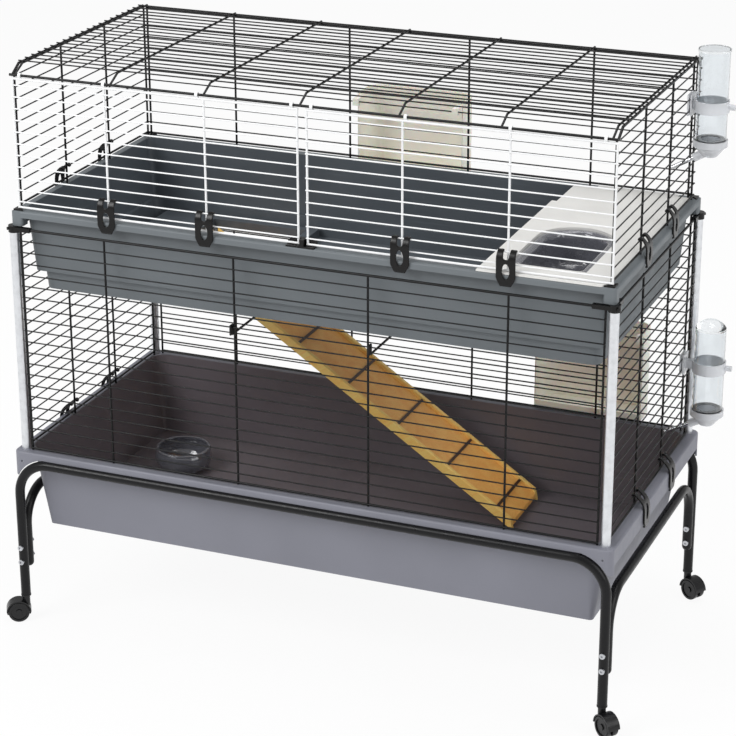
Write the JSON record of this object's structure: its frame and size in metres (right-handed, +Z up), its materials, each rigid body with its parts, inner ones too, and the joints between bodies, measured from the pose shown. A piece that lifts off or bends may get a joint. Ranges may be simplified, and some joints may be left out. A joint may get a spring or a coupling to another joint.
{
  "type": "rabbit cage",
  "caption": "Two-storey indoor rabbit cage: wire panels over two plastic trays on a wheeled tube stand, with ramp, bowls, hay racks and drinking bottles",
  "frame": {"origin": "on the floor, below the middle of the outer box, the four casters stand on z = 0", "axes": "+X to the right of a person who faces the doors, along the cage; +Y from the doors to the back; +Z up"},
  "size_m": [1.3198, 0.6942, 1.159],
  "materials": {
    "tube_black": "semi-gloss black powder coat",
    "bolt_steel": "zinc plated",
    "caster_black": "black moulded plastic",
    "lower_tray_grey": "smooth moulded plastic",
    "post_silver": "pale satin coat",
    "clip_black": "semi-gloss moulded plastic",
    "wire_black": "black powder coat",
    "wire_white": "white powder coat",
    "ramp_wood": "varnished orange wood",
    "ramp_edge_wood": "lighter varnished wood",
    "tread_wood": "dark stained wood",
    "bowl_smoke": "smoky glossy plastic",
    "rack_cream": "cream translucent plastic",
    "shelter_cream": "cream moulded plastic",
    "bottle_clear": "clear plastic bottle",
    "cap_blue": "pale blue-grey plastic",
    "spout_steel": "polished",
    "upper_tray_grey": "smooth moulded plastic"
  },
  "bodies": {
    "cage": {"front_frame_tube": "tube_black", "rear_frame_tube": "tube_black", "left_frame_tube": "tube_black", "right_frame_tube": "tube_black", "frame_bolts": "bolt_steel", "caster_sockets": "caster_black", "lower_tray": "lower_tray_grey", "corner_posts": "post_silver", "post_connectors": "clip_black", "lower_front_panel": "wire_black", "lower_rear_panel": "wire_black", "lower_left_panel": "wire_black", "lower_right_panel": "wire_black", "support_rods": "wire_black", "lower_bottle_cap": "cap_blue", "lower_drinking_tube": "spout_steel", "lower_bottle_holder": "cap_blue", "upper_tray": "upper_tray_grey", "upper_left_panel": "wire_black", "upper_right_panel": "wire_black", "upper_rear_panel": "wire_black", "roof_panel": "wire_black", "centre_foot": "clip_black", "rim_corner_blocks": "clip_black", "shelter": "shelter_cream", "upper_bottle_cap": "cap_blue", "upper_drinking_tube": "spout_steel", "upper_bottle_holder": "cap_blue"},
    "front_left_caster": {"front_left_caster_hood": "caster_black"},
    "front_left_wheels": {"front_left_caster_wheels": "caster_black"},
    "front_right_caster": {"front_right_caster_hood": "caster_black"},
    "front_right_wheels": {"front_right_caster_wheels": "caster_black"},
    "rear_left_caster": {"rear_left_caster_hood": "caster_black"},
    "rear_left_wheels": {"rear_left_caster_wheels": "caster_black"},
    "rear_right_caster": {"rear_right_caster_hood": "caster_black"},
    "rear_right_wheels": {"rear_right_caster_wheels": "caster_black"},
    "left_door": {"left_door": "wire_white"},
    "right_door": {"right_door": "wire_white"},
    "left_door_outer_clip": {"left_door_outer_clip": "clip_black"},
    "left_door_inner_clip": {"left_door_inner_clip": "clip_black"},
    "right_door_inner_clip": {"right_door_inner_clip": "clip_black"},
    "right_door_outer_clip": {"right_door_outer_clip": "clip_black"},
    "lower_left_front_clip": {"lower_left_front_clip": "clip_black"},
    "lower_left_rear_clip": {"lower_left_rear_clip": "clip_black"},
    "lower_right_front_clip": {"lower_right_front_clip": "clip_black"},
    "lower_right_rear_clip": {"lower_right_rear_clip": "clip_black"},
    "upper_left_front_clip": {"upper_left_front_clip": "clip_black"},
    "upper_left_rear_clip": {"upper_left_rear_clip": "clip_black"},
    "upper_right_front_clip": {"upper_right_front_clip": "clip_black"},
    "upper_right_rear_clip": {"upper_right_rear_clip": "clip_black"},
    "ramp": {"ramp_deck": "ramp_wood", "ramp_rails": "ramp_edge_wood", "ramp_treads": "tread_wood"},
    "lower_bowl": {"lower_bowl": "bowl_smoke"},
    "upper_bowl": {"upper_bowl": "bowl_smoke"},
    "lower_hay_rack": {"lower_hay_rack": "rack_cream"},
    "upper_hay_rack": {"upper_hay_rack": "rack_cream"},
    "lower_bottle": {"lower_bottle": "bottle_clear"},
    "upper_bottle": {"upper_bottle": "bottle_clear"}
  },
  "joints": [
    {"name": "front_left_swivel", "type": "hinge", "parent": "cage", "child": "front_left_caster", "pos_m": [-0.61838, -0.31189, 0.06], "axis": [0, 0, 1], "continuous": true},
    {"name": "front_left_roll", "type": "hinge", "parent": "front_left_caster", "child": "front_left_wheels", "pos_m": [-0.63215, -0.32003, 0.021], "axis": [0.509, -0.8607, 0], "continuous": true},
    {"name": "front_right_swivel", "type": "hinge", "parent": "cage", "child": "front_right_caster", "pos_m": [0.57562, -0.31189, 0.06], "axis": [0, 0, 1], "continuous": true},
    {"name": "front_right_roll", "type": "hinge", "parent": "front_right_caster", "child": "front_right_wheels", "pos_m": [0.58823, -0.32174, 0.021], "axis": [0.6157, 0.788, 0], "continuous": true},
    {"name": "rear_left_swivel", "type": "hinge", "parent": "cage", "child": "rear_left_caster", "pos_m": [-0.61838, 0.28211, 0.06], "axis": [0, 0, 1], "continuous": true},
    {"name": "rear_left_roll", "type": "hinge", "parent": "rear_left_caster", "child": "rear_left_wheels", "pos_m": [-0.62866, 0.29437, 0.021], "axis": [-0.766, -0.6428, 0], "continuous": true},
    {"name": "rear_right_swivel", "type": "hinge", "parent": "cage", "child": "rear_right_caster", "pos_m": [0.57562, 0.28211, 0.06], "axis": [0, 0, 1], "continuous": true},
    {"name": "rear_right_roll", "type": "hinge", "parent": "rear_right_caster", "child": "rear_right_wheels", "pos_m": [0.58948, 0.27411, 0.021], "axis": [0.5, 0.866, 0], "continuous": true},
    {"name": "left_door_hinge", "type": "hinge", "parent": "cage", "child": "left_door", "pos_m": [-0.31188, -0.28689, 1.112], "axis": [-1, 0, 0], "range_deg": [0, 100]},
    {"name": "right_door_hinge", "type": "hinge", "parent": "cage", "child": "right_door", "pos_m": [0.27512, -0.28689, 1.112], "axis": [-1, 0, 0], "range_deg": [0, 100]},
    {"name": "left_door_outer_clip_hinge", "type": "hinge", "parent": "left_door", "child": "left_door_outer_clip", "pos_m": [-0.40838, -0.28989, 0.8919], "axis": [-1, 0, 0], "range_deg": [0, 60]},
    {"name": "left_door_inner_clip_hinge", "type": "hinge", "parent": "left_door", "child": "left_door_inner_clip", "pos_m": [-0.20838, -0.28989, 0.8919], "axis": [-1, 0, 0], "range_deg": [0, 60]},
    {"name": "right_door_inner_clip_hinge", "type": "hinge", "parent": "right_door", "child": "right_door_inner_clip", "pos_m": [0.17262, -0.28989, 0.8919], "axis": [-1, 0, 0], "range_deg": [0, 60]},
    {"name": "right_door_outer_clip_hinge", "type": "hinge", "parent": "right_door", "child": "right_door_outer_clip", "pos_m": [0.36962, -0.28989, 0.8919], "axis": [-1, 0, 0], "range_deg": [0, 60]},
    {"name": "lower_left_front_clip_hinge", "type": "hinge", "parent": "cage", "child": "lower_left_front_clip", "pos_m": [-0.60838, -0.10289, 0.3893], "axis": [0, 1, 0], "range_deg": [0, 45]},
    {"name": "lower_left_rear_clip_hinge", "type": "hinge", "parent": "cage", "child": "lower_left_rear_clip", "pos_m": [-0.60838, 0.07311, 0.3893], "axis": [0, 1, 0], "range_deg": [0, 45]},
    {"name": "lower_right_front_clip_hinge", "type": "hinge", "parent": "cage", "child": "lower_right_front_clip", "pos_m": [0.56562, -0.10289, 0.3893], "axis": [0, -1, 0], "range_deg": [0, 45]},
    {"name": "lower_right_rear_clip_hinge", "type": "hinge", "parent": "cage", "child": "lower_right_rear_clip", "pos_m": [0.56562, 0.07311, 0.3893], "axis": [0, -1, 0], "range_deg": [0, 45]},
    {"name": "upper_left_front_clip_hinge", "type": "hinge", "parent": "cage", "child": "upper_left_front_clip", "pos_m": [-0.60038, -0.10289, 0.8834], "axis": [0, 1, 0], "range_deg": [0, 45]},
    {"name": "upper_left_rear_clip_hinge", "type": "hinge", "parent": "cage", "child": "upper_left_rear_clip", "pos_m": [-0.60038, 0.07311, 0.8834], "axis": [0, 1, 0], "range_deg": [0, 45]},
    {"name": "upper_right_front_clip_hinge", "type": "hinge", "parent": "cage", "child": "upper_right_front_clip", "pos_m": [0.55762, -0.10289, 0.8834], "axis": [0, -1, 0], "range_deg": [0, 45]},
    {"name": "upper_right_rear_clip_hinge", "type": "hinge", "parent": "cage", "child": "upper_right_rear_clip", "pos_m": [0.55762, 0.07311, 0.8834], "axis": [0, -1, 0], "range_deg": [0, 45]},
    {"name": "ramp_hinge", "type": "hinge", "parent": "cage", "child": "ramp", "pos_m": [-0.41838, 0.11111, 0.6867], "axis": [0, -1, 0], "range_deg": [0, 15]},
    {"name": "lower_bowl_lift", "type": "slide", "parent": "cage", "child": "lower_bowl", "axis": [0, 0, 1], "range_m": [0, 0.12]},
    {"name": "upper_bowl_lift", "type": "slide", "parent": "cage", "child": "upper_bowl", "axis": [0, 0, 1], "range_m": [0, 0.12]},
    {"name": "lower_hay_rack_lift", "type": "slide", "parent": "cage", "child": "lower_hay_rack", "axis": [0, 0, 1], "range_m": [0, 0.012]},
    {"name": "upper_hay_rack_lift", "type": "slide", "parent": "cage", "child": "upper_hay_rack", "axis": [0, 0, 1], "range_m": [0, 0.012]},
    {"name": "lower_bottle_lift", "type": "slide", "parent": "cage", "child": "lower_bottle", "axis": [0, 0, 1], "range_m": [0, 0.18]},
    {"name": "upper_bottle_lift", "type": "slide", "parent": "cage", "child": "upper_bottle", "axis": [0, 0, 1], "range_m": [0, 0.18]}
  ]
}
